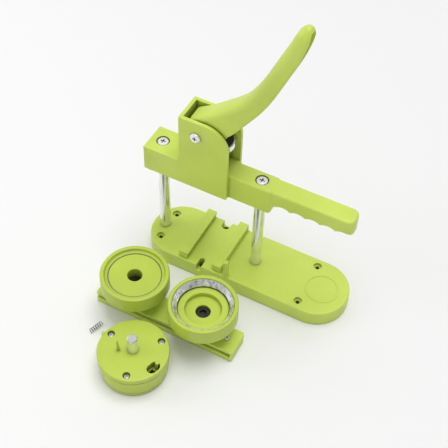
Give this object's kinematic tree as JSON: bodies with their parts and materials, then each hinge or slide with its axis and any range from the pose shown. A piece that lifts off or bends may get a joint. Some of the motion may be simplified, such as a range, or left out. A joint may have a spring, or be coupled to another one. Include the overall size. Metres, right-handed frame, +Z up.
{
  "type": "button badge press",
  "caption": "Lever press for round button badges: ram and lever in a head on posts over a base with a die channel, plus a slide with sprung lower dies, an upper die and a spare spring",
  "frame": {"origin": "on the underside of the base, on the axis of the ram", "axes": "+X along the base towards the grip, +Y to the back, +Z up; the lever's handle stands up at rest, and the die slide, the upper die and the spare spring lie in front of the base on the same surface"},
  "size_m": [0.2733, 0.2746, 0.3991],
  "materials": {
    "lime_plastic": "moulded ABS, satin gloss",
    "bright_plating": "bright nickel or chrome plate",
    "plain_steel": "plain zinc plated or drawn steel",
    "black_oxide": "black oxide steel",
    "black_rubber": "moulded rubber or fibre pad",
    "pale_plastic": "natural nylon or acetal"
  },
  "bodies": {
    "frame": {"base_plate": "lime_plastic", "base_cover": "lime_plastic", "cover_screws": "plain_steel", "post_left": "bright_plating", "post_right": "bright_plating", "post_washers": "plain_steel", "post_bolts": "plain_steel", "head_screws": "bright_plating", "head_frame": "lime_plastic", "pivot_bolt": "bright_plating", "pivot_nut": "plain_steel", "pivot_washers": "pale_plastic", "ram_bush": "pale_plastic", "ram_spring": "plain_steel"},
    "lever": {"lever": "lime_plastic", "lever_bush": "plain_steel"},
    "ram": {"ram": "plain_steel", "ram_plate": "bright_plating", "ram_pad": "black_rubber", "ram_screw": "plain_steel", "stem_clip": "plain_steel"},
    "die_slide": {"slide_plate": "lime_plastic", "slide_screws": "bright_plating", "die_screws": "black_oxide", "die_nuts": "plain_steel", "die_a_base": "lime_plastic", "die_a_insert": "bright_plating", "die_a_disc": "lime_plastic", "die_a_spring": "plain_steel", "die_b_base": "lime_plastic", "die_b_disc": "lime_plastic", "die_b_spring": "plain_steel"},
    "die_a_ring": {"die_a_ring": "lime_plastic"},
    "die_b_ring": {"die_b_ring": "lime_plastic", "die_b_crimp": "bright_plating"},
    "upper_die": {"upper_die_cap": "lime_plastic", "upper_die_shell": "lime_plastic", "upper_die_foot": "lime_plastic", "upper_die_crimp": "bright_plating", "upper_die_disc": "lime_plastic", "upper_die_stem": "bright_plating", "upper_die_screws": "bright_plating"},
    "selector": {"upper_die_selector": "lime_plastic"},
    "spare_spring": {"spare_spring": "plain_steel"}
  },
  "joints": [
    {"name": "lever_pivot", "type": "hinge", "parent": "frame", "child": "lever", "pos_m": [-0.0167, 0, 0.2174], "axis": [0, 1, 0], "range_deg": [0, 52]},
    {"name": "ram_slide", "type": "slide", "parent": "frame", "child": "ram", "axis": [0, 0, -1], "range_m": [0, 0.0152], "deforming": ["ram_spring"]},
    {"name": "die_a_ring_travel", "type": "slide", "parent": "die_slide", "child": "die_a_ring", "axis": [0, 0, -1], "range_m": [0, 0.0075], "stiffness_N_per_m": 1500, "springref_m": -0.001, "deforming": ["die_a_spring"]},
    {"name": "die_b_ring_travel", "type": "slide", "parent": "die_slide", "child": "die_b_ring", "axis": [0, 0, -1], "range_m": [0, 0.003], "stiffness_N_per_m": 1500, "springref_m": -0.001, "deforming": ["die_b_spring"]},
    {"name": "die_slide_lift", "type": "slide", "parent": "frame", "child": "die_slide", "axis": [0, 0, 1], "range_m": [0, 0.05]},
    {"name": "upper_die_lift", "type": "slide", "parent": "frame", "child": "upper_die", "axis": [0, 0, 1], "range_m": [0, 0.05]},
    {"name": "selector_turn", "type": "hinge", "parent": "upper_die", "child": "selector", "pos_m": [-0.0024, -0.192, 0.028], "axis": [0, 0, 1], "range_deg": [-20, 0]},
    {"name": "spare_spring_lift", "type": "slide", "parent": "frame", "child": "spare_spring", "axis": [0, 0, 1], "range_m": [0, 0.05]}
  ],
  "couplings": [
    {"joint": "ram_slide", "follows": "lever_pivot", "m_per_rad": 0.0167}
  ]
}
